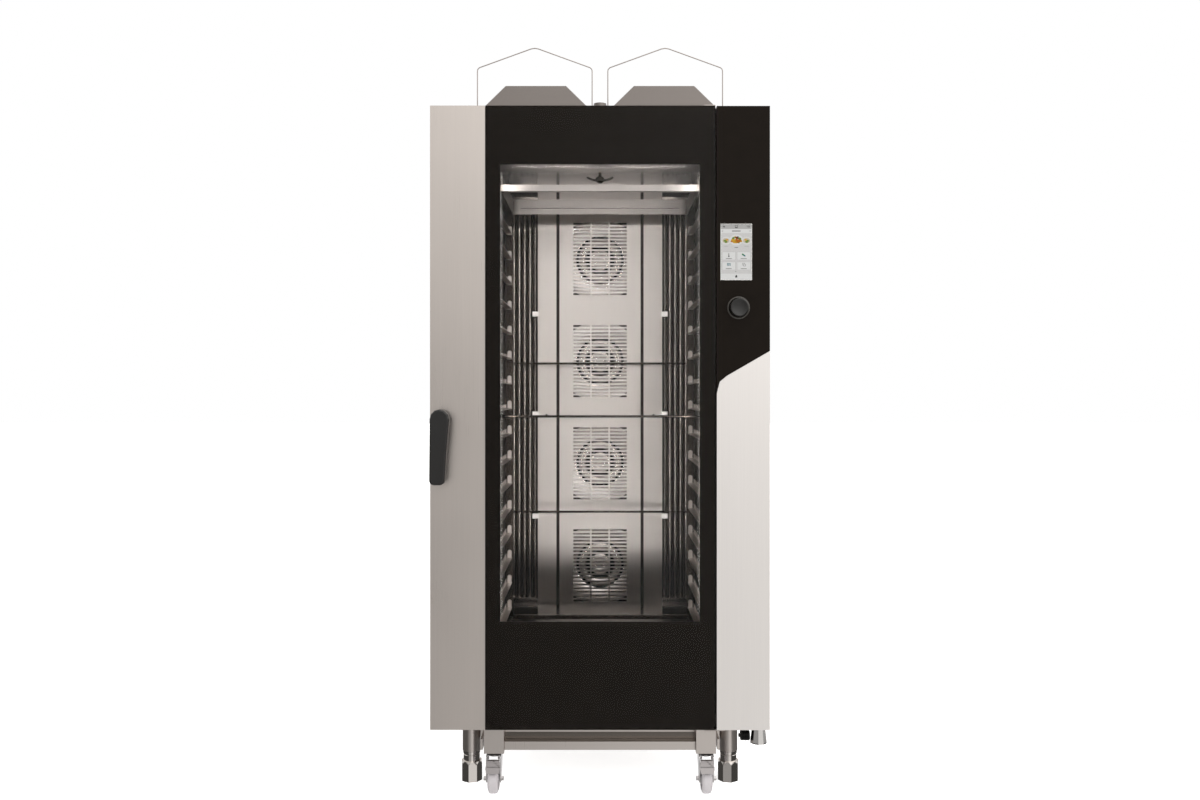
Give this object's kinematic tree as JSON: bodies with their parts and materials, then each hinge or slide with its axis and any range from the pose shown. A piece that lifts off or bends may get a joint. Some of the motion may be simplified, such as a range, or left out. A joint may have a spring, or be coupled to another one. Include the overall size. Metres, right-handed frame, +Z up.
{
  "type": "roll-in combi steamer oven",
  "caption": "Floor-standing gas combi steamer with a glazed door hinged on the right, touch control column, flue hoods and a wheeled tray rack on castors.",
  "frame": {"origin": "on the floor under the middle of the bounding box", "axes": "+X towards the control column, +Y from the door into the cavity, +Z up"},
  "size_m": [0.937, 1.004, 2.2399],
  "materials": {
    "cabinet_steel": "brushed stainless steel sheet, fine grain",
    "chassis_steel": "welded stainless steel, mill finish",
    "liner_steel": "smooth stainless steel, lightly heat toned",
    "black_glass": "back-printed black toughened glass",
    "screen": "lit touch screen behind clear cover",
    "circuit": "green circuit board",
    "bright_steel": "bright drawn stainless steel",
    "knob_plastic": "dark moulded knob",
    "gasket_rubber": "black silicone gasket",
    "mineral_wool": "mineral wool slab",
    "exchanger_steel": "heat toned stainless tube",
    "burner_casting": "die-cast burner housing",
    "motor_casting": "die-cast motor housing",
    "fan_steel": "pressed stainless steel",
    "hood_steel": "folded steel sheet, grey brown sheen",
    "inlet_brass": "machined brass fitting",
    "gland_plastic": "black polyamide",
    "shower_chrome": "chromed brass",
    "pane_glass": "clear toughened glass",
    "black_print": "black ceramic print on the pane",
    "led_strip": "frosted light strip",
    "handle_plastic": "dark moulded grip, satin",
    "rack_steel": "stainless steel, ground welds",
    "rail_steel": "folded stainless steel rail",
    "castor_zinc": "bright zinc plated pressed steel",
    "castor_tyre": "grey non-marking rubber tyre",
    "foot_steel": "polished stainless steel"
  },
  "bodies": {
    "oven": {"side_panel_left": "cabinet_steel", "side_panel_right": "cabinet_steel", "top_panel": "cabinet_steel", "rear_panel": "cabinet_steel", "base_chassis": "chassis_steel", "front_frame": "liner_steel", "control_panel": "cabinet_steel", "control_glass": "black_glass", "display_module": "screen", "control_board": "circuit", "cavity_liner": "liner_steel", "door_seal": "gasket_rubber", "insulation": "mineral_wool", "air_baffle": "liner_steel", "baffle_clips": "bright_steel", "heat_exchangers": "exchanger_steel", "gas_burners": "burner_casting", "fan_motors": "motor_casting", "flue_hoods": "hood_steel", "flue_guards": "bright_steel", "vent_pipe": "hood_steel", "drain_pipe": "liner_steel", "supply_inlets": "inlet_brass", "cable_gland": "gland_plastic", "hand_shower": "shower_chrome", "hinge_brackets": "bright_steel"},
    "door": {"door_outer_glass": "pane_glass", "door_glass_print": "black_print", "door_side_panel": "cabinet_steel", "door_frame": "liner_steel", "door_inner_glass": "pane_glass", "door_led_strips": "led_strip"},
    "handle": {"door_handle": "handle_plastic", "door_latch": "bright_steel"},
    "encoder": {"encoder_shaft": "bright_steel"},
    "knob": {"control_knob": "knob_plastic"},
    "wash_arm": {"spray_arm": "bright_steel"},
    "rack": {"rack_base": "rack_steel", "rack_front_plate": "rack_steel", "rack_frame": "rack_steel", "rack_rails": "rail_steel"},
    "fan_1": {"fan_wheel_1": "fan_steel"},
    "fan_2": {"fan_wheel_2": "fan_steel"},
    "fan_3": {"fan_wheel_3": "fan_steel"},
    "fan_4": {"fan_wheel_4": "fan_steel"},
    "castor_front_left": {"castor_fork_front_left": "castor_zinc"},
    "wheel_front_left": {"castor_wheel_front_left": "castor_tyre"},
    "foot_front_left": {"foot_front_left": "foot_steel"},
    "castor_front_right": {"castor_fork_front_right": "castor_zinc"},
    "wheel_front_right": {"castor_wheel_front_right": "castor_tyre"},
    "foot_front_right": {"foot_front_right": "foot_steel"},
    "castor_rear_left": {"castor_fork_rear_left": "castor_zinc"},
    "wheel_rear_left": {"castor_wheel_rear_left": "castor_tyre"},
    "foot_rear_left": {"foot_rear_left": "foot_steel"},
    "castor_rear_right": {"castor_fork_rear_right": "castor_zinc"},
    "wheel_rear_right": {"castor_wheel_rear_right": "castor_tyre"},
    "foot_rear_right": {"foot_rear_right": "foot_steel"},
    "brake_left": {"brake_pedal_left": "castor_zinc"},
    "brake_right": {"brake_pedal_right": "castor_zinc"}
  },
  "joints": [
    {"name": "door_hinge", "type": "hinge", "parent": "oven", "child": "door", "pos_m": [0.3, -0.43, 0.19], "axis": [0, 0, 1], "range_deg": [0, 120]},
    {"name": "handle_turn", "type": "hinge", "parent": "door", "child": "handle", "pos_m": [-0.434, -0.44, 1.047], "axis": [0, -1, 0], "range_deg": [0, 90]},
    {"name": "knob_push", "type": "slide", "parent": "oven", "child": "encoder", "axis": [0, 1, 0], "range_m": [0, 0.0015], "stiffness_N_per_m": 1500},
    {"name": "knob_turn", "type": "hinge", "parent": "encoder", "child": "knob", "pos_m": [0.382, -0.45, 1.352], "axis": [0, 1, 0], "continuous": true},
    {"name": "fan_spin_1", "type": "hinge", "parent": "oven", "child": "fan_1", "pos_m": [0, 0.29, 0.5405], "axis": [0, 1, 0], "continuous": true},
    {"name": "fan_spin_2", "type": "hinge", "parent": "oven", "child": "fan_2", "pos_m": [0, 0.29, 0.8805], "axis": [0, 1, 0], "continuous": true},
    {"name": "fan_spin_3", "type": "hinge", "parent": "oven", "child": "fan_3", "pos_m": [0, 0.29, 1.2205], "axis": [0, 1, 0], "continuous": true},
    {"name": "fan_spin_4", "type": "hinge", "parent": "oven", "child": "fan_4", "pos_m": [0, 0.29, 1.5605], "axis": [0, 1, 0], "continuous": true},
    {"name": "wash_spin", "type": "hinge", "parent": "oven", "child": "wash_arm", "pos_m": [0, -0.12, 1.78], "axis": [0, 0, 1], "continuous": true},
    {"name": "rack_roll", "type": "slide", "parent": "oven", "child": "rack", "axis": [0, -1, 0], "range_m": [0, 0.003]},
    {"name": "castor_swivel_front_left", "type": "hinge", "parent": "rack", "child": "castor_front_left", "pos_m": [-0.297, -0.37, 0.11], "axis": [0, 0, 1], "continuous": true},
    {"name": "castor_roll_front_left", "type": "hinge", "parent": "castor_front_left", "child": "wheel_front_left", "pos_m": [-0.297, -0.398, 0.04], "axis": [1, 0, 0], "continuous": true},
    {"name": "castor_swivel_front_right", "type": "hinge", "parent": "rack", "child": "castor_front_right", "pos_m": [0.297, -0.37, 0.11], "axis": [0, 0, 1], "continuous": true},
    {"name": "castor_roll_front_right", "type": "hinge", "parent": "castor_front_right", "child": "wheel_front_right", "pos_m": [0.297, -0.398, 0.04], "axis": [1, 0, 0], "continuous": true},
    {"name": "castor_swivel_rear_left", "type": "hinge", "parent": "rack", "child": "castor_rear_left", "pos_m": [-0.297, 0.12, 0.11], "axis": [0, 0, 1], "continuous": true},
    {"name": "castor_roll_rear_left", "type": "hinge", "parent": "castor_rear_left", "child": "wheel_rear_left", "pos_m": [-0.297, 0.092, 0.04], "axis": [1, 0, 0], "continuous": true},
    {"name": "castor_swivel_rear_right", "type": "hinge", "parent": "rack", "child": "castor_rear_right", "pos_m": [0.297, 0.12, 0.11], "axis": [0, 0, 1], "continuous": true},
    {"name": "castor_roll_rear_right", "type": "hinge", "parent": "castor_rear_right", "child": "wheel_rear_right", "pos_m": [0.297, 0.092, 0.04], "axis": [1, 0, 0], "continuous": true},
    {"name": "brake_press_left", "type": "hinge", "parent": "castor_front_left", "child": "brake_left", "pos_m": [-0.297, -0.406, 0.1005], "axis": [1, 0, 0], "range_deg": [0, 10]},
    {"name": "brake_press_right", "type": "hinge", "parent": "castor_front_right", "child": "brake_right", "pos_m": [0.297, -0.406, 0.1005], "axis": [1, 0, 0], "range_deg": [0, 10]},
    {"name": "foot_turn_front_left", "type": "hinge", "parent": "oven", "child": "foot_front_left", "pos_m": [-0.371, -0.295, 0.1], "axis": [0, 0, 1], "continuous": true},
    {"name": "foot_turn_front_right", "type": "hinge", "parent": "oven", "child": "foot_front_right", "pos_m": [0.371, -0.295, 0.1], "axis": [0, 0, 1], "continuous": true},
    {"name": "foot_turn_rear_left", "type": "hinge", "parent": "oven", "child": "foot_rear_left", "pos_m": [-0.371, 0.33, 0.1], "axis": [0, 0, 1], "continuous": true},
    {"name": "foot_turn_rear_right", "type": "hinge", "parent": "oven", "child": "foot_rear_right", "pos_m": [0.371, 0.33, 0.1], "axis": [0, 0, 1], "continuous": true}
  ]
}
